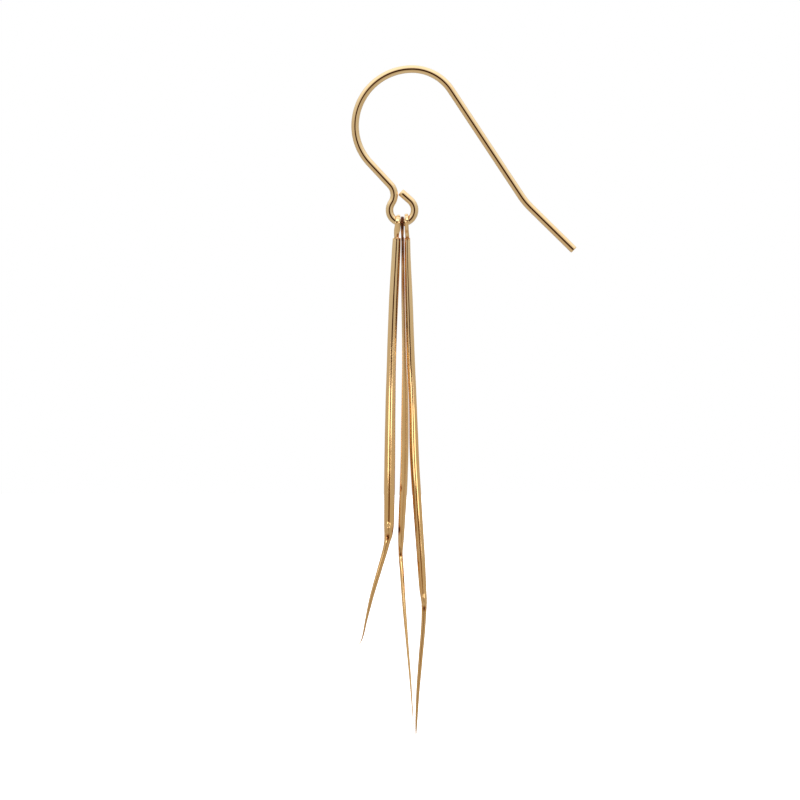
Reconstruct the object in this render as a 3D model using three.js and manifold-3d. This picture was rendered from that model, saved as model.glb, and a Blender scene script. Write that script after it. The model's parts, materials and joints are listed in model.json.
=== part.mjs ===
// A dangle earring in polished yellow gold: a bent ear wire whose open loop carries three long kinked drops.
// Millimetres, +Z up. The ear wire lies in the XZ plane and the earring is seen from -Y.
// The origin is where the ear carries it: the underside of the top of the arch.
import * as THREE from "three";
import { mergeVertices } from "three/addons/utils/BufferGeometryUtils.js";
import Module from "manifold-3d";

const wasm = await Module();
wasm.setup();

const goldColour = 0xd9b27c;

// ---- ear wire: one length of round wire, bent flat ----
const wireDiameter = 0.8;
const wireSides = 16;
const wireSteps = 128;

// Bends on each side of the arch's top, in order. A positive turn bends inwards, under the arch.
const loopSideBends = [
  { name: "arch", radius: 6.0, turn: 87 },
  { name: "lower arch", radius: 5.7, turn: 46 },
  { name: "shank", straight: 3.2 },
  { name: "neck", radius: 1.5, turn: -77.5 },
  { name: "loop", radius: 1.32, turn: 263 },
  { name: "loop end", straight: 1.35 },
];
const tailSideBends = [
  { name: "shoulder", radius: 4.9, turn: 56.5 },
  { name: "tail", straight: 13.4 },
  { name: "flick", radius: 7.5, turn: -12 },
  { name: "tail end", straight: 6.4 },
];

// ---- drops: tapered sheet folded along its middle, open at the back, on a strap bail ----
const sheet = 0.18;
const flankAngle = THREE.MathUtils.degToRad(45);
const ridgeSteps = 4;
const strapThickness = 0.17;
const bailRadius = 0.58;
const legSteps = 8;
const tangLength = 0.4;
const tangLap = 0.02;

// Rows run down a drop, in mm from the centre of the wire's loop, with side along X.
// Each drop leans to or from the viewer by lean, and kinks back at its elbow by kink, in degrees.
// groove is 1 where the fold is open to the sheet's full depth and 0 where it is closed up solid.
const shortDrop = {
  name: "drop_short",
  elbowDown: 34.6,
  lean: -0.19,
  kink: 2,
  hingeDown: 1.25,
  ridgeRadiusShare: 0.34,
  turn: -8,
  sections: [
    { down: 2.95, side: -0.5, width: 0.76, groove: 1 },
    { down: 4.3, side: -0.56, width: 0.82, groove: 1 },
    { down: 9.5, side: -0.88, width: 0.98, groove: 1 },
    { down: 15.5, side: -1.1, width: 0.97, groove: 1 },
    { down: 21.0, side: -1.22, width: 1.06, groove: 1 },
    { down: 28.0, side: -1.31, width: 1.14, groove: 1 },
    { down: 33.1, side: -1.37, width: 1.07, groove: 1 },
    { down: 34.2, side: -1.43, width: 0.9, groove: 0.7 },
    { down: 35.2, side: -1.62, width: 0.64, groove: 0.2 },
    { down: 37.9, side: -2.38, width: 0.53, groove: 0.1 },
    { down: 41.0, side: -3.26, width: 0.42, groove: 0.1 },
    { down: 43.2, side: -3.77, width: 0.27, groove: 0.1 },
    { down: 45.2, side: -4.22, width: 0.14, groove: 0.1 },
    { down: 45.8, side: -4.52, width: 0.06, groove: 0.1 },
  ],
  bail: {
    frontFoot: { side: -0.69, width: 0.28 },
    frontLeg: { side: -0.53, width: 0.62 },
    arch: { side: -0.38, width: 0.38 },
    backLeg: { side: -0.42, width: 0.36 },
    backFoot: { side: -0.48, width: 0.3 },
  },
};

const middleDrop = {
  name: "drop_middle",
  elbowDown: 36.4,
  lean: 0.36,
  kink: -12,
  hingeDown: 1.43,
  ridgeRadiusShare: 0.18,
  turn: 12,
  sections: [
    { down: 2.85, side: 0.07, width: 0.29, groove: 1 },
    { down: 9.5, side: 0.11, width: 0.32, groove: 1 },
    { down: 12.6, side: 0.17, width: 0.34, groove: 1 },
    { down: 15.9, side: 0.23, width: 0.42, groove: 1 },
    { down: 20.0, side: 0.31, width: 0.7, groove: 1 },
    { down: 24.5, side: 0.29, width: 0.8, groove: 1 },
    { down: 28.4, side: 0.19, width: 0.8, groove: 1 },
    { down: 32.6, side: -0.02, width: 0.74, groove: 1 },
    { down: 34.8, side: -0.11, width: 0.62, groove: 0.8 },
    { down: 36.2, side: -0.15, width: 0.47, groove: 0.3 },
    { down: 37.2, side: -0.08, width: 0.46, groove: 0.1 },
    { down: 41.7, side: 0.23, width: 0.4, groove: 0.1 },
    { down: 45.3, side: 0.53, width: 0.29, groove: 0.1 },
    { down: 49.5, side: 0.89, width: 0.2, groove: 0.1 },
    { down: 53.8, side: 1.19, width: 0.06, groove: 0.1 },
  ],
  bail: {
    frontFoot: { side: 0.04, width: 0.26 },
    frontLeg: { side: 0.04, width: 0.28 },
    arch: { side: 0.04, width: 0.3 },
    backLeg: { side: 0.04, width: 0.28 },
    backFoot: { side: 0.04, width: 0.26 },
  },
};

const longDrop = {
  name: "drop_long",
  elbowDown: 41.3,
  lean: -0.45,
  kink: 12,
  hingeDown: 1.14,
  ridgeRadiusShare: 0.34,
  turn: -4,
  sections: [
    { down: 2.95, side: 0.56, width: 0.6, groove: 1 },
    { down: 4.3, side: 0.58, width: 0.62, groove: 1 },
    { down: 9.5, side: 0.73, width: 0.8, groove: 1 },
    { down: 15.9, side: 0.93, width: 0.86, groove: 1 },
    { down: 20.0, side: 1.13, width: 0.82, groove: 1 },
    { down: 25.6, side: 1.29, width: 0.96, groove: 1 },
    { down: 30.5, side: 1.58, width: 0.94, groove: 1 },
    { down: 36.9, side: 2.01, width: 0.87, groove: 1 },
    { down: 40.0, side: 2.2, width: 0.77, groove: 1 },
    { down: 41.5, side: 2.33, width: 0.6, groove: 0.4 },
    { down: 43.2, side: 2.28, width: 0.5, groove: 0.1 },
    { down: 47.4, side: 1.96, width: 0.45, groove: 0.1 },
    { down: 51.6, side: 1.65, width: 0.34, groove: 0.1 },
    { down: 54.8, side: 1.51, width: 0.2, groove: 0.1 },
    { down: 55.9, side: 1.48, width: 0.06, groove: 0.1 },
  ],
  bail: {
    frontFoot: { side: 0.56, width: 0.42 },
    frontLeg: { side: 0.5, width: 0.42 },
    arch: { side: 0.46, width: 0.4 },
    backLeg: { side: 0.5, width: 0.4 },
    backFoot: { side: 0.56, width: 0.36 },
  },
};

// Places bends one after another from the arch's top; side is -1 towards the loop and 1 towards the tail.
function layOutBends(bends, side) {
  const laid = [];
  let from = 0;
  let start = new THREE.Vector2(0, wireDiameter / 2);
  let heading = side > 0 ? 0 : Math.PI;
  for (const bend of bends) {
    const turn = -side * THREE.MathUtils.degToRad(bend.turn ?? 0);
    const length = bend.straight ?? bend.radius * Math.abs(turn);
    const placed = { name: bend.name, start, heading, from, length, turn, radius: bend.radius };
    laid.push(placed);
    start = pointOnBend(placed, length);
    heading += turn;
    from += length;
  }
  return laid;
}

function pointOnBend(bend, distance) {
  const { start, heading } = bend;
  if (!bend.radius) {
    return new THREE.Vector2(Math.cos(heading), Math.sin(heading)).multiplyScalar(distance).add(start);
  }
  const now = heading + bend.turn * distance / bend.length;
  const signedRadius = bend.radius * Math.sign(bend.turn);
  const offset = new THREE.Vector2(Math.sin(now) - Math.sin(heading), Math.cos(heading) - Math.cos(now));
  return offset.multiplyScalar(signedRadius).add(start);
}

function pointAlong(laid, distance) {
  const bend = laid.findLast((candidate) => candidate.from <= distance);
  return pointOnBend(bend, Math.min(distance - bend.from, bend.length));
}

function runLength(laid) {
  const last = laid.at(-1);
  return last.from + last.length;
}

const loopSide = layOutBends(loopSideBends, -1);
const tailSide = layOutBends(tailSideBends, 1);

// The ear wire's centreline, from the loop's cut end over the arch to the tail's tip.
class EarWireRoute extends THREE.Curve {
  arcLengthDivisions = 1000;

  getPoint(share, target = new THREE.Vector3()) {
    const loopLength = runLength(loopSide);
    const distance = share * (loopLength + runLength(tailSide)) - loopLength;
    const flat = distance < 0 ? pointAlong(loopSide, -distance) : pointAlong(tailSide, distance);
    return target.set(flat.x, 0, flat.y);
  }
}

// Centre of the wire's loop: the drops' rows are measured from it.
function findLoopCentre() {
  const loop = loopSide.find((bend) => bend.name === "loop");
  const inward = new THREE.Vector2(-Math.sin(loop.heading), Math.cos(loop.heading));
  return inward.multiplyScalar(loop.radius).add(loop.start);
}

const loopCentre = findLoopCentre();

// Skins a row of equal rings, with both ends capped. outline gives the end faces' layout in the ring's own plane.
function skinRings(rings, outline) {
  const count = outline.length;
  const indices = [];
  for (let row = 0; row < rings.length - 1; row += 1) {
    for (let k = 0; k < count; k += 1) {
      const a = row * count + k;
      const b = row * count + (k + 1) % count;
      indices.push(a, a + count, b);
      indices.push(b, a + count, b + count);
    }
  }
  const lastRow = (rings.length - 1) * count;
  for (const [a, b, c] of THREE.ShapeUtils.triangulateShape(outline, [])) {
    indices.push(a, b, c);
    indices.push(lastRow + a, lastRow + c, lastRow + b);
  }
  const geometry = new THREE.BufferGeometry().setFromPoints(rings.flat());
  geometry.setIndex(indices);
  return geometry;
}

// Cross-section of the folded sheet: ridge at -v, the two edges on v = 0, counter-clockwise.
function foldOutline(width, ridgeRadius, groove) {
  const thickness = Math.min(sheet, 0.3 * width);
  const innerRadius = Math.max(ridgeRadius - thickness, 0.02);
  const sin = Math.sin(flankAngle);
  const cos = Math.cos(flankAngle);
  const flank = (width / 2 - ridgeRadius * sin) / cos;
  const edgeV = ridgeRadius * (1 - cos) + flank * sin;
  const innerEdge = { u: width / 2 - thickness * sin, v: thickness * cos };
  const points = [];
  for (let k = -ridgeSteps; k <= ridgeSteps; k += 1) {
    const angle = flankAngle * k / ridgeSteps;
    const v = ridgeRadius * (1 - Math.cos(angle)) - edgeV;
    points.push(new THREE.Vector2(ridgeRadius * Math.sin(angle), v));
  }
  points.push(new THREE.Vector2(width / 2, 0));
  points.push(new THREE.Vector2(innerEdge.u, innerEdge.v));
  for (let k = 1; k >= -1; k -= 1) {
    const angle = flankAngle * k;
    const v = ridgeRadius - innerRadius * Math.cos(angle) - edgeV;
    const u = innerRadius * Math.sin(angle);
    points.push(new THREE.Vector2(u, THREE.MathUtils.lerp(innerEdge.v, v, groove)));
  }
  points.push(new THREE.Vector2(-innerEdge.u, innerEdge.v));
  points.push(new THREE.Vector2(-width / 2, 0));
  return { points, depth: edgeV };
}

function leanAt(drop, down) {
  const lean = Math.tan(THREE.MathUtils.degToRad(drop.lean));
  const kink = Math.tan(THREE.MathUtils.degToRad(drop.kink));
  return lean * (down - drop.hingeDown) + kink * Math.max(down - drop.elbowDown, 0);
}

function spikeGeometry(drop) {
  const turn = THREE.MathUtils.degToRad(drop.turn);
  const origin = new THREE.Vector2();
  const outlines = drop.sections.map((row) => {
    return foldOutline(row.width / Math.cos(turn), drop.ridgeRadiusShare * row.width, row.groove);
  });
  const rings = drop.sections.map((row, index) => {
    const { points, depth } = outlines[index];
    return points.map((point) => {
      const turned = point.clone().rotateAround(origin, turn);
      const y = leanAt(drop, row.down) + depth / 2 + turned.y;
      return new THREE.Vector3(row.side + turned.x, y, -row.down);
    });
  });
  return skinRings(rings, outlines[0].points);
}

// One leg of the strap in the YZ plane: from its tang, up beside the wire and past the arch's top.
// face is -1 for the leg in front and 1 for the leg behind; the two tangs are lapped and soldered.
function legRoute(drop, face) {
  const { bail, hingeDown, sections } = drop;
  const leg = face < 0 ? bail.frontLeg : bail.backLeg;
  const foot = face < 0 ? bail.frontFoot : bail.backFoot;
  const radius = bailRadius + strapThickness / 2;
  const crotch = new THREE.Vector2(strapThickness / 2 - tangLap / 2, sections[0].down - hingeDown);
  const tang = new THREE.Vector2(crotch.x, crotch.y + tangLength);
  const tangent = Math.acos(radius / crotch.length()) + Math.atan2(crotch.x, crotch.y);
  const onArch = (angle) => new THREE.Vector2(Math.sin(angle), Math.cos(angle)).multiplyScalar(radius);
  const route = [];
  const place = (point, strap) => {
    route.push({ y: face * point.x, down: hingeDown + point.y, side: strap.side, width: strap.width });
  };
  place(tang, foot);
  place(crotch, foot);
  place(onArch(tangent).lerp(crotch, 0.4), leg);
  const step = (Math.PI - tangent) / legSteps;
  for (let k = 0; k <= legSteps + 1; k += 1) {
    place(onArch(tangent + step * k), bail.arch);
  }
  return route;
}

function legGeometry(drop, face) {
  const route = legRoute(drop, face);
  const outline = [[-1, -1], [1, -1], [1, 1], [-1, 1]].map(([u, v]) => new THREE.Vector2(u, v));
  const rings = route.map((here, index) => {
    const before = route[Math.max(index - 1, 0)];
    const after = route[Math.min(index + 1, route.length - 1)];
    const along = new THREE.Vector2(after.y - before.y, before.down - after.down).normalize();
    return outline.map(({ x: u, y: v }) => new THREE.Vector3(
      here.side + u * here.width / 2,
      here.y - v * along.y * strapThickness / 2,
      -here.down + v * along.x * strapThickness / 2,
    ));
  });
  return skinRings(rings, outline);
}

function toManifold(geometry) {
  const merged = mergeVertices(geometry, 1e-5);
  return new wasm.Manifold(new wasm.Mesh({
    numProp: 3,
    vertProperties: Float32Array.from(merged.getAttribute("position").array),
    triVerts: Uint32Array.from(merged.index.array),
  }));
}

function joinSoldered(pieces) {
  const joined = wasm.Manifold.union(pieces.map(toManifold)).getMesh();
  const geometry = new THREE.BufferGeometry();
  geometry.setAttribute("position", new THREE.BufferAttribute(joined.vertProperties, 3));
  geometry.setIndex(new THREE.BufferAttribute(joined.triVerts, 1));
  geometry.computeVertexNormals();
  return geometry;
}

function polishedGold(roughness) {
  return new THREE.MeshStandardMaterial({ color: goldColour, roughness, metalness: 1 });
}

function makeEarHook() {
  const round = new THREE.Shape();
  round.absarc(0, 0, wireDiameter / 2, 0, 2 * Math.PI);
  const geometry = new THREE.ExtrudeGeometry(round, {
    steps: wireSteps,
    curveSegments: wireSides / 2,
    extrudePath: new EarWireRoute(),
  });
  const mesh = new THREE.Mesh(geometry, polishedGold(0.12));
  mesh.name = "ear_hook";
  return mesh;
}

function makeDrop(drop) {
  const geometry = joinSoldered([spikeGeometry(drop), legGeometry(drop, -1), legGeometry(drop, 1)]);
  const mesh = new THREE.Mesh(geometry, polishedGold(0.15));
  mesh.name = drop.name;
  mesh.position.set(loopCentre.x, 0, loopCentre.y);
  return mesh;
}

const earring = new THREE.Group();
earring.add(makeEarHook());
for (const drop of [shortDrop, middleDrop, longDrop]) {
  earring.add(makeDrop(drop));
}

export default earring;
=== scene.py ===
import json
from math import acos, atan2, pi, radians, tan
import bpy
import numpy as np
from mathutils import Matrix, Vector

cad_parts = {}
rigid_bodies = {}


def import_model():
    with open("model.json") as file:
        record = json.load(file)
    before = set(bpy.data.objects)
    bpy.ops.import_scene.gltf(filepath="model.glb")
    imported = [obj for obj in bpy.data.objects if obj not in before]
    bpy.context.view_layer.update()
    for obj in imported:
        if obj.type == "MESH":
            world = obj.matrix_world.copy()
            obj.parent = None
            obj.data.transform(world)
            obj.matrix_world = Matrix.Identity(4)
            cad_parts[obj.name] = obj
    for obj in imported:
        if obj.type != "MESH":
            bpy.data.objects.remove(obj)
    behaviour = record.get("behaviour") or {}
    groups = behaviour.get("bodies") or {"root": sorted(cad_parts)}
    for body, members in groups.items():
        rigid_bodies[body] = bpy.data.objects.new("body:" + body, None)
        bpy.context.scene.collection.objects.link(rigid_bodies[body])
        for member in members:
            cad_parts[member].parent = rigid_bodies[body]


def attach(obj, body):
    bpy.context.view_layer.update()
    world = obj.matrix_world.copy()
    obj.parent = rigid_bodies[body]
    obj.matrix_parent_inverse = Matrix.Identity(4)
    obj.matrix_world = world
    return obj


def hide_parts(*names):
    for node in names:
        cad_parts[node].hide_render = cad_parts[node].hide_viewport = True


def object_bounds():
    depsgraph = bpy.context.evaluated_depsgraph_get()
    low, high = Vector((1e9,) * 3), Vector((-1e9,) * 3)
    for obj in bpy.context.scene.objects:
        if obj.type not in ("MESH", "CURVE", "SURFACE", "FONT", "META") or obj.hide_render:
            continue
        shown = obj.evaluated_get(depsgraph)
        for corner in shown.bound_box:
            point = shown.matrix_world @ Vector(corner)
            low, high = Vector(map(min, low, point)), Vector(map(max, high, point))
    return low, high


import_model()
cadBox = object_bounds()

# One gold dangle earring. The metal's sizes are in mm, measured from the underside of the ear wire's arch.
# The meshes and the studio are in metres.
mm = 0.001

# The ear wire, one length of round wire.
earWire = {
    "radius": 0.4,
    "around": 56,
    "step": 0.01,
    "rowEvery": 5,  # steps from one ring to the next
    "easing": 0.35,  # length over which the pliers ease one bend into the next
    # bends from the arch's top towards the loop: radius, turn in degrees (inwards positive), straight length
    "loopSide": [(6.0, 87, 0), (5.7, 46, 0), (0, 0, 3.2), (1.5, -77.5, 0), (1.32, 263, 0), (0, 0, 1.35)],
    "tailSide": [(4.9, 56.5, 0), (0, 0, 13.4), (7.5, -12, 0), (0, 0, 6.4)],
    "loopBend": 4,
    "endRounding": 0.07,
    "endRings": 7,  # rings that round off each end
    "endSteps": 10,  # steps left to those rings
    "pinch": 0.3,  # how far the cutters squeezed the loop's end, as a share of the wire
    "pinchLength": 0.3,
    "waver": 0.0015,  # unevenness of the drawn wire, as a share of its radius
    "seed": 3,
}


def bendCurvature(bends, step):
    # curvature along a run of bends: turn / length on a bend and 0 on a straight, sampled every step
    samples = []
    for radius, turn, straight in bends:
        count = round((straight or radius * abs(radians(turn))) / step)
        samples.append(np.full(count, radians(turn) / (count * step)))
    return np.concatenate(samples)


def runBends(bends, side, settings):
    # heading is the running sum of eased curvature, and the path the running sum of the heading's unit vector
    step = settings["step"]
    curvature = bendCurvature(bends, step)
    reach = round(settings["easing"] / step)
    window = np.ones(reach) / reach
    eased = np.convolve(np.pad(curvature, reach, mode="edge"), window, mode="same")[reach:-reach]
    start = 0 if side > 0 else pi
    heading = start - side * (np.cumsum(eased) - eased / 2) * step
    moves = np.stack([np.cos(heading), np.sin(heading)], axis=1) * step
    return np.vstack([[0, settings["radius"]], [0, settings["radius"]] + np.cumsum(moves, axis=0)])


def findLoopCentre(settings):
    # end point and heading of the bends before the loop, then one loop radius inwards
    position = np.array([0.0, settings["radius"]])
    heading = pi
    for radius, turn, straight in settings["loopSide"][:settings["loopBend"]]:
        if straight:
            position += straight * np.array([np.cos(heading), np.sin(heading)])
            continue
        after = heading + radians(turn)
        signed = radius * np.sign(turn)
        position += signed * np.array([np.sin(after) - np.sin(heading), np.cos(heading) - np.cos(after)])
        heading = after
    loopRadius = settings["loopSide"][settings["loopBend"]][0]
    return position + loopRadius * np.array([-np.sin(heading), np.cos(heading)])


def ripple(along, seed, longest=6.0, octaves=5, spread=(0.8, 1.25), fade=1.8):
    # a sum of sines with seeded phases, each about half as long as the one before and lower by the fade
    chance = np.random.default_rng(seed)
    total = np.zeros_like(along)
    for octave in range(octaves):
        length = longest / 2 ** octave * chance.uniform(*spread)
        total += np.sin(2 * pi * along / length + chance.uniform(0, 2 * pi)) / fade ** octave
    return total


def smoothColumn(known, values, wanted):
    # monotone cubic between table rows: slopes are the weighted harmonic means of the chords beside a row
    known = np.asarray(known, float)
    values = np.asarray(values, float)
    gaps = np.diff(known)
    chords = np.diff(values) / gaps
    slopes = np.zeros_like(values)
    slopes[0] = chords[0]
    slopes[-1] = chords[-1]
    before, after = chords[:-1], chords[1:]
    heavy, light = 2 * gaps[1:] + gaps[:-1], gaps[1:] + 2 * gaps[:-1]
    steady = before * after > 0
    slopes[1:-1][steady] = ((heavy + light)[steady]
                            / (heavy[steady] / before[steady] + light[steady] / after[steady]))
    row = np.clip(np.searchsorted(known, wanted, side="right") - 1, 0, len(gaps) - 1)
    share = (wanted - known[row]) / gaps[row]
    rest = 1 - share
    rise, fall = gaps[row] * slopes[row], gaps[row] * slopes[row + 1]
    fromBefore = values[row] * (1 + 2 * share) * rest ** 2 + rise * share * rest ** 2
    fromAfter = values[row + 1] * (3 - 2 * share) * share ** 2 - fall * share ** 2 * rest
    return fromBefore + fromAfter


def ringFaces(rowCount, ringCount, first):
    # quads between neighbouring rings of a closed tube, and one face over each end
    row, column = np.meshgrid(np.arange(rowCount - 1), np.arange(ringCount), indexing="ij")
    across = (column + 1) % ringCount
    quads = np.stack([row * ringCount + column, (row + 1) * ringCount + column,
                      (row + 1) * ringCount + across, row * ringCount + across], axis=-1)
    startCap = first + np.arange(ringCount)
    endCap = first + (rowCount - 1) * ringCount + np.arange(ringCount)[::-1]
    return (first + quads).reshape(-1, 4).tolist() + [startCap.tolist(), endCap.tolist()]


def makePiece(name, tubes, solderAndShadeSpots=(), spotDepth=0.35):
    # tubes: (rings, around, along) with rings of shape rows x ring x 3 and two surface lengths, all in mm
    # solder and painted shade marks: x, y, z, reach, length along, strength, each fading as a bell curve at
    # least the spot depth deep
    points, faces, around, along = [], [], [], []
    first = 0
    for rings, ringLength, rowLength in tubes:
        rowCount, ringCount = rings.shape[:2]
        faces += ringFaces(rowCount, ringCount, first)
        points.append(rings.reshape(-1, 3))
        around.append(np.broadcast_to(ringLength, (rowCount, ringCount)).ravel())
        along.append(np.broadcast_to(rowLength, (rowCount, ringCount)).ravel())
        first += rowCount * ringCount
    points = np.concatenate(points)
    mesh = bpy.data.meshes.new(name)
    mesh.from_pydata((points * mm).tolist(), [], faces)
    mesh.update()
    mesh.polygons.foreach_set("use_smooth", np.ones(len(mesh.polygons), bool))
    loopVertex = np.empty(len(mesh.loops), np.int32)
    mesh.loops.foreach_get("vertex_index", loopVertex)
    surface = np.stack([np.concatenate(around), np.concatenate(along)], axis=1)[loopVertex]
    mesh.uv_layers.new(name="surface").data.foreach_set("uv", surface.astype(np.float32).ravel())
    solderAndShade = np.zeros(len(points))
    for x, y, z, reach, length, strength in solderAndShadeSpots:
        offset = (points - [x, y, z]) / [reach, max(reach, spotDepth), length]
        solderAndShade = np.maximum(solderAndShade, strength * np.exp(-(offset ** 2).sum(axis=1)))
    mesh.attributes.new("solderAndShade", "FLOAT", "POINT").data.foreach_set("value", solderAndShade.astype(np.float32))
    piece = bpy.data.objects.new(name, mesh)
    bpy.context.scene.collection.objects.link(piece)
    return piece


def makeEarWire(settings):
    # a circle carried along the bent path: point = path + radius (cos a * across + sin a * Y)
    loopRun = runBends(settings["loopSide"], -1, settings)
    tailRun = runBends(settings["tailSide"], 1, settings)
    path = np.vstack([loopRun[::-1], tailRun[1:]])
    steps = np.linalg.norm(np.diff(path, axis=0), axis=1)
    along = np.concatenate([[0], np.cumsum(steps)])
    total = along[-1]
    rounding = settings["endRounding"]
    nearEnd = rounding * (1 - np.cos(np.linspace(0, pi / 2, settings["endRings"])[1:-1]))
    betweenEnds = along[settings["endSteps"]:-settings["endSteps"]:settings["rowEvery"]]
    wanted = np.unique(np.concatenate([[0, total], nearEnd, total - nearEnd, betweenEnds]))
    flat = np.stack([np.interp(wanted, along, path[:, axis]) for axis in (0, 1)], axis=1)
    direction = np.gradient(flat, wanted, axis=0)
    direction /= np.linalg.norm(direction, axis=1)[:, None]
    across = np.stack([direction[:, 1], -direction[:, 0]], axis=1)
    toEnd = np.clip(np.minimum(wanted, total - wanted) / rounding, 0, 1)
    uneven = 1 + settings["waver"] * ripple(wanted, settings["seed"])
    radius = settings["radius"] * uneven - rounding * (1 - np.sqrt(1 - (1 - toEnd) ** 2))
    pinch = 1 - settings["pinch"] * np.clip(1 - wanted / settings["pinchLength"], 0, 1) ** 2
    angle = np.linspace(0, 2 * pi, settings["around"], endpoint=False)
    reach = radius[:, None] * np.cos(angle)
    rings = np.stack([flat[:, :1] + reach * across[:, :1],
                      (radius * pinch)[:, None] * np.sin(angle),
                      flat[:, 1:] + reach * across[:, 1:]], axis=-1)
    return makePiece("earWire", [(rings, angle * settings["radius"], wanted[:, None])])


loopCentre = findLoopCentre(earWire)

# Shared by the three drops: tapered sheet folded along its middle.
foldBuild = {
    "sheet": 0.18,
    "sheetShare": 0.3,  # the sheet is no thicker than this share of the width
    "flankAngle": radians(45),
    "tightestBend": 0.015,
    "topEdge": 0.05,  # square of the sheet's share left at the rounded top edge
    "rowStep": 0.08,
    "arcPoints": 19,
    "flankPoints": 7,
    "edgePoints": 5,
    "measuredRow": 40,  # the row whose outline gives the surface's length around
    "solidRidge": 0.36,  # ridge radius of the closed lower part, as a share of the width
    # crimped elbow: depth as a share of the width (below 0 stands proud), middle below the crimp, length
    "dent": (0.12, 0.45, 0.42),
    "bulge": (-0.1, -0.42, 0.38),
    "crimpReach": 0.34,
    # hammered unevenness: height, longest wave in mm, number of octaves
    "widthWaver": (0.004, 6, 3),
    "turnWaver": (0.5, 14, 2),
    "ridgeWaver": (0.008, 9, 2),
}

# The strap bail soldered to a drop's top.
bailBuild = {
    "strap": 0.17,
    "radius": 0.58,
    "tangLength": 0.4,
    "tangLap": 0.02,
    "footShare": 0.35,  # thickness left where the feet are filed thin
    "legShare": 0.55,  # where along a leg its table row counts
    "archPoints": 61,
    "rows": 150,
    "around": 32,
    "easing": 13,
    "dome": (0.7, 0.9),  # powers that square off the section, across and through
    "surfaceRadius": 0.1,  # turns an angle into a length around the surface
}

# The solder where the bail's feet meet the fold.
solderBuild = {
    "widthShare": 0.3,
    "depth": 0.14,
    "height": 0.24,
    "sunk": 0.06,
    "poleGap": 0.06,
    "rows": 28,
    "around": 36,
    "lumps": (3, 0.08),  # how many, and their height as a share
    "surfaceRadii": (0.15, 0.25),
}

# Rows: mm below the loop's centre, side along X, width, groove (1 open fold, 0 closed solid), turn about the
# drop's length in degrees. Hinge, elbow and crimp are mm below the loop's centre too.
shortDrop = {
    "name": "shortDrop",
    "node": "drop_short",
    "body": "short_drop",
    "hinge": 1.25,
    "elbow": 34.6,
    "lean": -0.19,  # degrees back from the hinge
    "kink": 2,  # degrees further back from the elbow down
    "ridge": 0.34,  # ridge radius as a share of the width
    "crimp": 33.95,
    "yaw": 14,  # degrees the bail's arch is turned about Z
    "rows": [
        (2.95, -0.545, 0.85, 1, 2), (4.3, -0.61, 0.92, 1, 1), (9.5, -0.88, 0.98, 1, -1),
        (15.5, -1.1, 0.97, 1, -5), (21.0, -1.22, 1.06, 1, -8), (28.0, -1.31, 1.14, 1, -8),
        (33.1, -1.37, 1.07, 1, -8), (34.2, -1.43, 0.9, 0.7, -9), (35.2, -1.62, 0.64, 0.2, -12),
        (37.9, -2.38, 0.53, 0.1, -14), (41.0, -3.26, 0.42, 0.1, -14), (43.2, -3.77, 0.27, 0.1, -14),
        (45.2, -4.22, 0.14, 0.1, -14), (45.8, -4.52, 0.06, 0.1, -14)],
    # strap rows: side and width at the front foot, front leg, arch, back leg and back foot
    "bail": [(-0.69, 0.28), (-0.505, 0.66), (-0.38, 0.4), (-0.42, 0.36), (-0.48, 0.3)],
    # marks: side, down, depth behind the drop's middle, reach, length, strength (brown solder, painted dark
    # shade above a half)
    # brown solder at the top; painted shade on the rear bail leg, in the crimped elbow and beside it at the
    # back
    "solderAndShadeSpots": [(-0.5, 3.0, -0.2, 0.3, 0.16, 0.45), (-1.5, 34.45, -0.1, 0.17, 0.3, 0.95),
               (-0.93, 33.85, 0.2, 0.13, 0.45, 1), (-0.42, 2.7, -0.2, 0.12, 0.2, 0.95)],
    "seed": 11,
}

middleDrop = {
    "name": "middleDrop",
    "node": "drop_middle",
    "body": "middle_drop",
    "hinge": 1.43,
    "elbow": 36.4,
    "lean": 0.36,
    "kink": -12,
    "ridge": 0.18,
    "crimp": 36.1,
    "yaw": 18,
    "rows": [
        (2.85, 0.07, 0.29, 1, 12), (9.5, 0.12, 0.36, 1, 12), (12.6, 0.18, 0.39, 1, 12),
        (15.9, 0.24, 0.46, 1, 12), (20.0, 0.315, 0.73, 1, 12), (24.5, 0.29, 0.8, 1, 12),
        (28.4, 0.19, 0.8, 1, 12), (32.6, -0.02, 0.74, 1, 12), (34.8, -0.11, 0.62, 0.8, 12),
        (36.2, -0.15, 0.47, 0.3, 6), (37.2, -0.08, 0.46, 0.1, 0), (41.7, 0.23, 0.4, 0.1, 0),
        (45.3, 0.53, 0.29, 0.1, 0), (49.5, 0.89, 0.2, 0.1, 0), (53.8, 1.19, 0.06, 0.1, 0)],
    "bail": [(0.04, 0.26), (0.035, 0.33), (0.04, 0.33), (0.04, 0.28), (0.04, 0.26)],
    # painted shade over the bail and upper body, where this drop hangs boxed in between the other two, fading
    # down the body; more painted shade on its left flank and at the crimped elbow
    "solderAndShadeSpots": [(0.04, 1.2, -0.7, 0.8, 1.6, 1), (0.06, 4.0, -0.3, 0.6, 2.0, 1),
               (0.1, 7.6, -0.3, 0.6, 2.6, 0.55), (0.1, 11.8, -0.3, 0.5, 2.6, 0.22),
               (-0.05, 15.0, -0.3, 0.25, 3.0, 0.12), (-0.28, 33.7, 0, 0.14, 0.42, 1),
               (-0.16, 36.3, 0, 0.3, 0.24, 0.66), (-0.08, 29.3, 0, 0.11, 0.4, 0.68)],
    "seed": 23,
}

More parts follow.
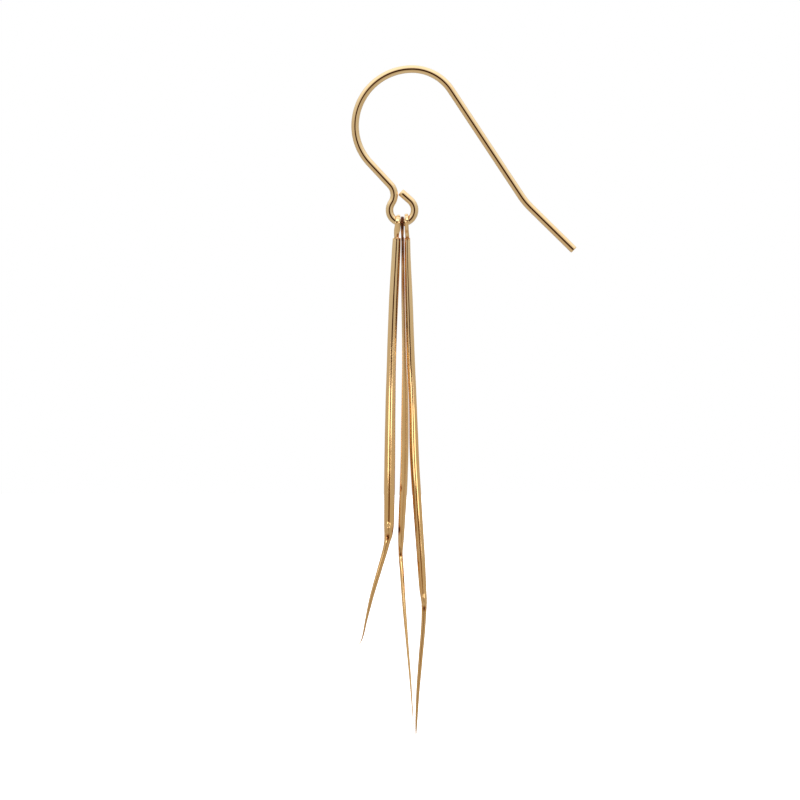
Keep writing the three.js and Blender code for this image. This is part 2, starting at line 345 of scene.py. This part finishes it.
longDrop = {
    "name": "longDrop",
    "node": "drop_long",
    "body": "long_drop",
    "hinge": 1.14,
    "elbow": 41.3,
    "lean": -0.45,
    "kink": 12,
    "ridge": 0.34,
    "crimp": 41.35,
    "yaw": -14,
    "rows": [
        (2.95, 0.56, 0.6, 1, -4), (4.3, 0.58, 0.62, 1, -4), (9.5, 0.73, 0.8, 1, -4),
        (15.9, 0.93, 0.86, 1, -4), (20.0, 1.13, 0.82, 1, -4), (25.6, 1.29, 0.96, 1, -4),
        (30.5, 1.58, 0.94, 1, -4), (36.9, 2.01, 0.87, 1, -4), (40.0, 2.2, 0.77, 1, -4),
        (41.5, 2.33, 0.6, 0.4, 0), (43.2, 2.28, 0.5, 0.1, 6), (47.4, 1.96, 0.45, 0.1, 8),
        (51.6, 1.65, 0.34, 0.1, 8), (54.8, 1.51, 0.2, 0.1, 8), (55.9, 1.48, 0.06, 0.1, 8)],
    "bail": [(0.56, 0.42), (0.495, 0.43), (0.46, 0.39), (0.5, 0.4), (0.56, 0.36)],
    # brown solder at the top, the stronger spot deepening into painted shade; painted shade in the crimped
    # elbow
    "solderAndShadeSpots": [(0.52, 3.0, -0.2, 0.4, 0.22, 0.62), (0.5, 2.3, -0.35, 0.14, 0.2, 0.4),
               (2.34, 41.95, 0, 0.17, 0.28, 0.78)],
    "seed": 37,
}


def leanAt(drop, down):
    # y of a drop's middle: a steady lean from the hinge, and a kink from the elbow down
    return (tan(radians(drop["lean"])) * (down - drop["hinge"])
            + tan(radians(drop["kink"])) * np.maximum(down - drop["elbow"], 0))


def waver(down, seed, settings):
    height, longest, octaves = settings
    return height * ripple(down, seed, longest, octaves)[:, None]


def foldRings(drop, build):
    # the sheet's middle is an arc at the ridge with a straight flank each side, and its two faces lie half a
    # sheet off it, joined round the edges by half circles; the inner face fills in as the groove closes
    table = np.array(drop["rows"], float)
    down = np.arange(table[0, 0], table[-1, 0], build["rowStep"])
    down = np.append(down[table[-1, 0] - down > build["rowStep"] / 2], table[-1, 0])
    side, width, groove, turn = (smoothColumn(table[:, 0], table[:, k], down)[:, None] for k in (1, 2, 3, 4))
    width = width * (1 + waver(down, drop["seed"], build["widthWaver"]))
    turn = np.radians(turn + waver(down, drop["seed"] + 1, build["turnWaver"]))
    flankAngle = build["flankAngle"]
    sinFlank, cosFlank = np.sin(flankAngle), np.cos(flankAngle)
    full = width / np.cos(turn) / 2
    ridgeRadius = (drop["ridge"] + (build["solidRidge"] - drop["ridge"]) * (1 - groove)) * width
    fromTop = np.clip((down - down[0])[:, None] / (build["sheet"] / 2), 0, 1)
    fullSheet = np.minimum(build["sheet"], build["sheetShare"] * width)
    sheet = fullSheet * np.sqrt(np.clip(1 - (1 - fromTop) ** 2, build["topEdge"], 1))
    midRadius = np.maximum(ridgeRadius - fullSheet / 2, build["tightestBend"])
    flank = (full - sheet / 2 - midRadius * sinFlank) / cosFlank
    share = np.linspace(1, 0, build["flankPoints"], endpoint=False)
    arc = np.linspace(-flankAngle, flankAngle, build["arcPoints"])
    bend = np.concatenate([np.full(len(share), -flankAngle), arc, np.full(len(share), flankAngle)])
    out = np.concatenate([share, np.zeros(len(arc)), share[::-1]])
    midU = midRadius * np.sin(bend) + np.sign(bend) * out * flank * cosFlank
    midV = -midRadius * np.cos(bend) + out * flank * sinFlank
    normalU, normalV = np.sin(bend), -np.cos(bend)
    edgeV = midV[:, -1:]
    backV = edgeV + cosFlank * sheet / 2
    outerU, outerV = midU + normalU * sheet / 2, midV + normalV * sheet / 2
    innerU, innerV = midU - normalU * sheet / 2, midV - normalV * sheet / 2
    innerV = backV + (innerV - backV) * groove
    fromCrimp = (down - drop["crimp"])[:, None]
    for deep, place, length in (build["dent"], build["bulge"]):
        crimp = deep * np.exp(-((fromCrimp - place) / length) ** 2)
        outerV = outerV + crimp * width * np.exp(-(outerU / (build["crimpReach"] * width)) ** 2)
    edge = np.linspace(0, pi, build["edgePoints"] + 2)[1:-1]
    rightU = midU[:, -1:] + sheet / 2 * (np.cos(edge) * sinFlank + np.sin(edge) * cosFlank)
    rightV = edgeV + sheet / 2 * (-np.cos(edge) * cosFlank + np.sin(edge) * sinFlank)
    ringU = np.hstack([outerU, rightU, innerU[:, ::-1], -rightU[:, ::-1]])
    ringV = np.hstack([outerV, rightV, innerV[:, ::-1], rightV[:, ::-1]]) - edgeV
    lean = leanAt(drop, down)[:, None] + waver(down, drop["seed"] + 2, build["ridgeWaver"])
    depth = ridgeRadius * (1 - cosFlank) + (full - ridgeRadius * sinFlank) * sinFlank / cosFlank
    x = side + ringU * np.cos(turn) - ringV * np.sin(turn)
    y = lean + depth / 2 + ringU * np.sin(turn) + ringV * np.cos(turn)
    z = np.broadcast_to(-down[:, None], x.shape)
    rings = np.stack([x, y, z], axis=-1)
    row = build["measuredRow"]
    ringLength = np.concatenate([[0], np.cumsum(np.hypot(np.diff(ringU[row]), np.diff(ringV[row])))])
    return rings, ringLength, down[:, None]


def strapRoute(drop, build):
    # the strap's middle line from the side: up the front leg, round the arch, down the back leg, then eased
    radius = build["radius"] + build["strap"] / 2
    crotch = np.array([build["strap"] / 2 - build["tangLap"] / 2, drop["rows"][0][0] - drop["hinge"]])
    tangent = acos(radius / np.hypot(*crotch)) + atan2(crotch[0], crotch[1])
    angle = np.linspace(tangent, 2 * pi - tangent, build["archPoints"])
    arch = radius * np.stack([np.sin(angle), np.cos(angle)], axis=1)
    foot = crotch + [0, build["tangLength"]]
    mirror = [-1, 1]
    route = np.vstack([foot, crotch, arch, crotch * mirror, foot * mirror]) * mirror
    length = np.concatenate([[0], np.cumsum(np.linalg.norm(np.diff(route, axis=0), axis=1))])
    wanted = np.linspace(0, length[-1], build["rows"])
    route = np.stack([np.interp(wanted, length, route[:, k]) for k in (0, 1)], axis=1)
    window = np.hanning(build["easing"])[1:-1]
    reach = len(window) // 2
    padded = np.pad(route, ((reach, reach), (0, 0)), mode="reflect", reflect_type="odd")
    eased = [np.convolve(padded[:, k], window / window.sum(), mode="valid") for k in (0, 1)]
    return np.stack(eased, axis=1), wanted, length


def strapRings(drop, build):
    # a domed strip carried along the route: each coordinate of its section is a signed cosine or sine to a
    # power below 1, and the strip is turned a little about Z, most at the arch
    route, wanted, length = strapRoute(drop, build)
    legLength = length[2] - length[1]
    keys = np.array([0, length[1], length[1] + build["legShare"] * legLength, length[-1] / 2])
    keys = np.concatenate([keys, length[-1] - keys[2::-1]])
    frontFoot, frontLeg, archRow, backLeg, backFoot = drop["bail"]
    values = np.array([frontFoot, frontFoot, frontLeg, archRow, backLeg, backFoot, backFoot])
    side, width = (smoothColumn(keys, values[:, k], wanted)[:, None] for k in (0, 1))
    direction = np.gradient(route, axis=0)
    direction /= np.linalg.norm(direction, axis=1)[:, None]
    angle = np.linspace(0, 2 * pi, build["around"], endpoint=False)
    acrossPower, throughPower = build["dome"]
    across = np.sign(np.cos(angle)) * np.abs(np.cos(angle)) ** acrossPower
    through = np.sign(np.sin(angle)) * np.abs(np.sin(angle)) ** throughPower
    yaw = radians(drop["yaw"]) * np.sin(pi * wanted / length[-1])[:, None] ** 2
    toFoot = np.minimum(wanted, length[-1] - wanted) / build["tangLength"]
    foot = np.clip(toFoot, build["footShare"], 1)[:, None]
    u = across * width / 2
    v = through * foot * build["strap"] / 2
    x = side + u * np.cos(yaw)
    y = route[:, :1] + v * direction[:, 1:] + u * np.sin(yaw)
    z = -(drop["hinge"] + route[:, 1:]) + v * direction[:, :1]
    return np.stack([x, y, z], axis=-1), angle * build["surfaceRadius"], wanted[:, None]


def solderRings(drop, build):
    # a squashed ball: a circle with a few lumps carried over half a turn from pole to pole
    topDown, topWidth = drop["rows"][0][0], drop["rows"][0][2]
    pole = np.linspace(build["poleGap"], pi - build["poleGap"], build["rows"])[:, None]
    angle = np.linspace(0, 2 * pi, build["around"], endpoint=False)
    count, rise = build["lumps"]
    lump = 1 + rise * np.sin(count * angle + drop["seed"]) * np.sin(pole) ** 2
    side = (drop["bail"][0][0] + drop["bail"][-1][0]) / 2
    x = side + build["widthShare"] * topWidth * lump * np.sin(pole) * np.cos(angle)
    y = build["depth"] * lump * np.sin(pole) * np.sin(angle)
    z = -(topDown + build["sunk"]) + build["height"] * np.cos(pole) + 0 * angle
    aroundRadius, alongRadius = build["surfaceRadii"]
    return np.stack([x, y, z], axis=-1), angle * aroundRadius, pole * alongRadius


def makeDrop(drop):
    shift = np.array([loopCentre[0], 0, loopCentre[1]])
    parts = (foldRings(drop, foldBuild), strapRings(drop, bailBuild), solderRings(drop, solderBuild))
    tubes = [(rings + shift, around, along) for rings, around, along in parts]
    # place each mark on the drop: the weak ones are brown solder, the strong ones painted shade
    solderAndShadeSpots = []
    for side, down, depth, reach, length, strength in drop["solderAndShadeSpots"]:
        x, y, z = shift + [side, leanAt(drop, down) + depth, -down]
        solderAndShadeSpots.append((x, y, z, reach, length, strength))
    return makePiece(drop["name"], tubes, solderAndShadeSpots)


# Polished gold, with brown solder and painted dark shade where a piece's marks attribute says.
goldFinish = {
    "colour": (0.97, 0.715, 0.395, 1),
    "deepColour": (0.87, 0.55, 0.24, 1),  # richer towards the drops' tips
    "deepHeights": (-0.022, -0.037),  # z where the richer gold begins and is full, in metres
    "rosyColour": (0.92, 0.62, 0.31, 1),
    "rosyShare": 0.7,
    "solderColour": (0.62, 0.27, 0.09, 1),
    # brown of the solder, which also rims each patch of painted shade
    "solderStain": (0.08, 0.5),
    # dark maroon painted shade for the creases, the rear bail leg and the middle drop between the other two
    "paintedShadeColour": (0.1, 0.028, 0.01, 1),
    "paintedShadeRange": (0.5, 0.85),
    "smooth": 0.05,
    "hazy": 0.13,
    "clouds": (260, 4),  # scale and detail of slow changes over the metal
    "drawnLines": (9, 5, (4, 0.12, 1)),  # fine lines along the metal, with their stretch
    "grains": (5200, 3),
    "lineStrength": 0.5,
    "grainStrength": 0.4,
}


def makeGold(name, settings, bumpReach):
    material = bpy.data.materials.new(name)
    material.use_nodes = True
    nodes, links = material.node_tree.nodes, material.node_tree.links
    shader = nodes["Principled BSDF"]
    shader.inputs["Metallic"].default_value = 1.0
    place = nodes.new("ShaderNodeTexCoord")

    def noise(source, scale, detail, stretch=(1, 1, 1)):
        mapping = nodes.new("ShaderNodeMapping")
        mapping.inputs["Scale"].default_value = stretch
        links.new(source, mapping.inputs["Vector"])
        texture = nodes.new("ShaderNodeTexNoise")
        texture.inputs["Scale"].default_value = scale
        texture.inputs["Detail"].default_value = detail
        links.new(mapping.outputs["Vector"], texture.inputs["Vector"])
        return texture.outputs["Fac"]

    def remap(value, fromLow, fromHigh, toLow, toHigh):
        ranged = nodes.new("ShaderNodeMapRange")
        for socket, number in zip(("From Min", "From Max", "To Min", "To Max"),
                                  (fromLow, fromHigh, toLow, toHigh)):
            ranged.inputs[socket].default_value = number
        links.new(value, ranged.inputs["Value"])
        return ranged.outputs["Result"]

    def mixColour(share, first, second):
        mix = nodes.new("ShaderNodeMix")
        mix.data_type = "RGBA"
        links.new(share, mix.inputs["Factor"])
        for socket, colour in ((mix.inputs["A"], first), (mix.inputs["B"], second)):
            if isinstance(colour, tuple):
                socket.default_value = colour
            else:
                links.new(colour, socket)
        return mix.outputs["Result"]

    cloudy = noise(place.outputs["Object"], *settings["clouds"])
    drawn = noise(place.outputs["UV"], *settings["drawnLines"])
    grains = noise(place.outputs["Object"], *settings["grains"])
    # the marks attribute: brown solder up to a half, painted shade above it
    solderAndShade = nodes.new("ShaderNodeAttribute")
    solderAndShade.attribute_name = "solderAndShade"

    height = nodes.new("ShaderNodeSeparateXYZ")
    links.new(place.outputs["Object"], height.inputs["Vector"])
    lowness = remap(height.outputs["Z"], *settings["deepHeights"], 0, 1)
    deep = mixColour(lowness, settings["colour"], settings["deepColour"])
    warm = mixColour(remap(cloudy, 0.45, 0.75, 0, settings["rosyShare"]), deep, settings["rosyColour"])
    patchy = nodes.new("ShaderNodeMath")
    patchy.operation = "MULTIPLY"
    links.new(solderAndShade.outputs["Fac"], patchy.inputs[0])
    links.new(remap(cloudy, 0.3, 0.7, 0.8, 1.15), patchy.inputs[1])
    solderAndShadeAmount = patchy.outputs["Value"]
    # brown solder where the marks are weak, painted shade where they pass a half
    soldered = mixColour(remap(solderAndShadeAmount, *settings["solderStain"], 0, 1), warm, settings["solderColour"])
    colour = mixColour(remap(solderAndShadeAmount, *settings["paintedShadeRange"], 0, 1), soldered, settings["paintedShadeColour"])
    links.new(colour, shader.inputs["Base Color"])
    links.new(remap(cloudy, 0.3, 0.7, settings["smooth"], settings["hazy"]), shader.inputs["Roughness"])

    lines = nodes.new("ShaderNodeBump")
    lines.inputs["Strength"].default_value = settings["lineStrength"]
    lines.inputs["Distance"].default_value = bumpReach
    links.new(drawn, lines.inputs["Height"])
    pits = nodes.new("ShaderNodeBump")
    pits.inputs["Strength"].default_value = settings["grainStrength"]
    pits.inputs["Distance"].default_value = bumpReach
    links.new(grains, pits.inputs["Height"])
    links.new(lines.outputs["Normal"], pits.inputs["Normal"])
    links.new(pits.outputs["Normal"], shader.inputs["Normal"])
    return material


# The studio: a pale floor, a white tent and soft lights, seen from the front.
studio = {
    "floorDrop": 0.23,  # metres below the lowest tip
    "floorReach": 6.0,
    "floorColour": (0.95, 0.95, 0.95, 1),
    "floorRoughness": 0.9,
    "floorGlow": 0.8,
    "cameraDistance": 0.234,
    "lens": 100,
    "sensor": 36,
    "clip": (0.01, 50),
    "aim": (-1.27, -34.45),  # what the view's middle shows, mm
    # brightness of the tent by height of the direction, from straight down to straight up
    "heights": [(-1, 0.6), (-0.3, 0.52), (0, 0.58), (0.3, 0.66), (0.45, 0.8), (0.68, 1.15), (1, 1.25)],
    "brightest": 1.25,
    # dark patches of the tent: middle, reach, share of the reach that is fully dark, depth
    "darkPatches": [((-0.07, -1, -0.12), (0.52, 1, 0.48), 0.62, 0.93),
                    ((0.1, -0.9, -0.4), (0.62, 1, 0.6), 0.2, 0.35),
                    ((0, 1, -0.05), (0.4, 1, 0.4), 0.5, 0.8)],
    # colour of the tent's light by its brightness
    "warmth": [(0, (1, 0.22, 0.03)), (0.12, (1, 0.42, 0.14)), (0.32, (1, 0.84, 0.62)), (0.6, (1, 0.98, 0.93)),
               (1, (0.97, 1, 1.05))],
    # soft lights: drop lit, degrees round from the lens, distance, width, bottom, top, brightness, colour
    "softLights": [("shortLeft", "shortDrop", -38, 0.12, 0.087, -0.043, -0.027, 2.0, "white"),
                   ("shortRight", "shortDrop", 38, 0.12, 0.087, -0.042, -0.031, 1.8, "white"),
                   ("shortArch", "shortDrop", 0, 0.03, 0.03, -0.012, 0.006, 1.3, "white"),
                   ("shortLeg", "shortDrop", 0, 0.12, 0.1, -0.125, -0.09, 0.2, "white"),
                   ("shortFront", "shortDrop", 0, 0.12, 0.12, -0.064, -0.03, 0.12, "amber"),
                   ("shortTip", "shortDrop", 0, 0.12, 0.12, -0.088, -0.064, 0.4, "cream"),
                   ("longLeft", "longDrop", -38, 0.12, 0.087, -0.05, -0.031, 1.8, "white"),
                   ("longRight", "longDrop", 38, 0.12, 0.087, -0.048, -0.029, 1.8, "white"),
                   ("longArch", "longDrop", 0, 0.03, 0.03, -0.012, 0.006, 1.3, "white"),
                   ("longLeg", "longDrop", 0, 0.12, 0.1, -0.115, -0.09, 0.2, "white"),
                   ("longFront", "longDrop", 0, 0.12, 0.12, -0.064, -0.04, 0.14, "amber"),
                   ("longLow", "longDrop", 0, 0.12, 0.12, -0.09, -0.064, 0.4, "cream"),
                   ("middleTop", "middleDrop", 0, 0.15, 0.2, -0.004, 0.03, 1.6, "white"),
                   ("middleFront", "middleDrop", 0, 0.12, 0.12, -0.064, -0.03, 0.35, "cream")],
    "lightColours": {"white": (1, 1, 1), "cream": (1, 0.9, 0.7), "amber": (1, 0.6, 0.2)},
}


def makeFloor(settings):
    low = cadBox[0][2] - settings["floorDrop"]
    reach = settings["floorReach"]
    mesh = bpy.data.meshes.new("studioFloor")
    corners = [(-reach, -reach, low), (reach, -reach, low), (reach, reach, low), (-reach, reach, low)]
    mesh.from_pydata(corners, [], [(0, 1, 2, 3)])
    floor = bpy.data.objects.new("studioFloor", mesh)
    bpy.context.scene.collection.objects.link(floor)
    material = bpy.data.materials.new("paleFloor")
    material.use_nodes = True
    shader = material.node_tree.nodes["Principled BSDF"]
    shader.inputs["Base Color"].default_value = settings["floorColour"]
    shader.inputs["Roughness"].default_value = settings["floorRoughness"]
    shader.inputs["Emission Color"].default_value = (1, 1, 1, 1)
    shader.inputs["Emission Strength"].default_value = settings["floorGlow"]
    mesh.materials.append(material)
    floor.visible_glossy = False


def makeTent(settings):
    # a white tent whose brightness follows direction: a ramp over height, dark where the lens and its holder
    # look in, with a smaller gap behind, and darker light is warmer
    world = bpy.data.worlds.new("lightTent")
    bpy.context.scene.world = world
    world.use_nodes = True
    nodes, links = world.node_tree.nodes, world.node_tree.links
    background = nodes["Background"]
    place = nodes.new("ShaderNodeTexCoord")

    def math(operation, first, second=None):
        node = nodes.new("ShaderNodeMath")
        node.operation = operation
        for socket, value in zip(node.inputs, (first, second)):
            if isinstance(value, (int, float)):
                socket.default_value = value
            elif value is not None:
                links.new(value, socket)
        return node.outputs["Value"]

    def ramp(value, stops):
        node = nodes.new("ShaderNodeValToRGB")
        elements = node.color_ramp.elements
        while len(elements) < len(stops):
            elements.new(1)
        for element, (position, colour) in zip(elements, stops):
            element.position = position
            element.color = (*colour, 1)
        links.new(value, node.inputs["Fac"])
        return node.outputs["Color"]

    def oval(middle, reach, hardness):
        # 1 inside an oval patch of directions, fading to 0 at its reach
        offset = nodes.new("ShaderNodeVectorMath")
        offset.operation = "SUBTRACT"
        links.new(place.outputs["Generated"], offset.inputs[0])
        offset.inputs[1].default_value = middle
        scaled = nodes.new("ShaderNodeVectorMath")
        scaled.operation = "DIVIDE"
        links.new(offset.outputs["Vector"], scaled.inputs[0])
        scaled.inputs[1].default_value = reach
        far = nodes.new("ShaderNodeVectorMath")
        far.operation = "LENGTH"
        links.new(scaled.outputs["Vector"], far.inputs[0])
        patch = nodes.new("ShaderNodeMapRange")
        patch.interpolation_type = "SMOOTHSTEP"
        for socket, number in zip(("From Min", "From Max", "To Min", "To Max"), (hardness, 1, 1, 0)):
            patch.inputs[socket].default_value = number
        links.new(far.outputs["Value"], patch.inputs["Value"])
        return patch.outputs["Result"]

    split = nodes.new("ShaderNodeSeparateXYZ")
    links.new(place.outputs["Generated"], split.inputs["Vector"])
    height = math("MULTIPLY_ADD", split.outputs["Z"], 0.5)
    height.node.inputs[2].default_value = 0.5
    stops = [((z + 1) / 2, (level / settings["brightest"],) * 3) for z, level in settings["heights"]]
    light = math("MULTIPLY", ramp(height, stops), settings["brightest"])
    for middle, reach, hardness, depth in settings["darkPatches"]:
        darkness = math("MULTIPLY", oval(middle, reach, hardness), depth)
        light = math("MULTIPLY", light, math("SUBTRACT", 1.0, darkness))
    warmth = ramp(light, settings["warmth"])
    seen = nodes.new("ShaderNodeLightPath")
    colour = nodes.new("ShaderNodeMix")
    colour.data_type = "RGBA"
    links.new(seen.outputs["Is Camera Ray"], colour.inputs["Factor"])
    links.new(warmth, colour.inputs["A"])
    colour.inputs["B"].default_value = (1, 1, 1, 1)
    links.new(colour.outputs["Result"], background.inputs["Color"])
    links.new(math("MAXIMUM", light, seen.outputs["Is Camera Ray"]), background.inputs["Strength"])


def makeSoftLights(settings, pieces):
    # flat soft lights stand round the lens, face the earring, and each shines on one drop alone
    for name, lit, degrees, away, width, bottom, top, level, colour in settings["softLights"]:
        data = bpy.data.lights.new(name, "AREA")
        data.shape = "RECTANGLE"
        data.size = width
        data.size_y = top - bottom
        data.energy = level * pi * width * (top - bottom)  # radiance is energy / (pi * area)
        data.color = settings["lightColours"][colour]
        light = bpy.data.objects.new(name, data)
        turn = radians(degrees)
        light.location = (away * np.sin(turn), -away * np.cos(turn), (bottom + top) / 2)
        light.rotation_euler = (pi / 2, 0, turn)
        light.visible_camera = False
        bpy.context.scene.collection.objects.link(light)
        receivers = bpy.data.collections.new(name)
        receivers.objects.link(pieces[lit])
        light.light_linking.receiver_collection = receivers


def makeCamera(settings):
    data = bpy.data.cameras.new("camera")
    data.lens = settings["lens"]
    data.sensor_width = settings["sensor"]
    data.clip_start, data.clip_end = settings["clip"]
    camera = bpy.data.objects.new("camera", data)
    aimX, aimZ = settings["aim"]
    camera.location = (aimX * mm, -settings["cameraDistance"], aimZ * mm)
    camera.rotation_euler = (pi / 2, 0, 0)
    bpy.context.scene.collection.objects.link(camera)
    bpy.context.scene.camera = camera


makeCamera(studio)
makeFloor(studio)
makeTent(studio)
bpy.context.scene.view_settings.view_transform = "Standard"
print("studio ready")

wireGold = makeGold("wireGold", goldFinish, 1.5e-6)  # depth of the drawn lines and grains, in metres
dropGold = makeGold("dropGold", goldFinish, 2.5e-6)

wirePiece = makeEarWire(earWire)
wirePiece.data.materials.append(wireGold)
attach(wirePiece, "ear_wire")
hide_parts("ear_hook")
print("ear wire ready")

for drop in (shortDrop, middleDrop, longDrop):
    piece = makeDrop(drop)
    piece.data.materials.append(dropGold)
    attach(piece, drop["body"])
    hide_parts(drop["node"])
    print(drop["name"], "ready")
makeSoftLights(studio, bpy.data.objects)
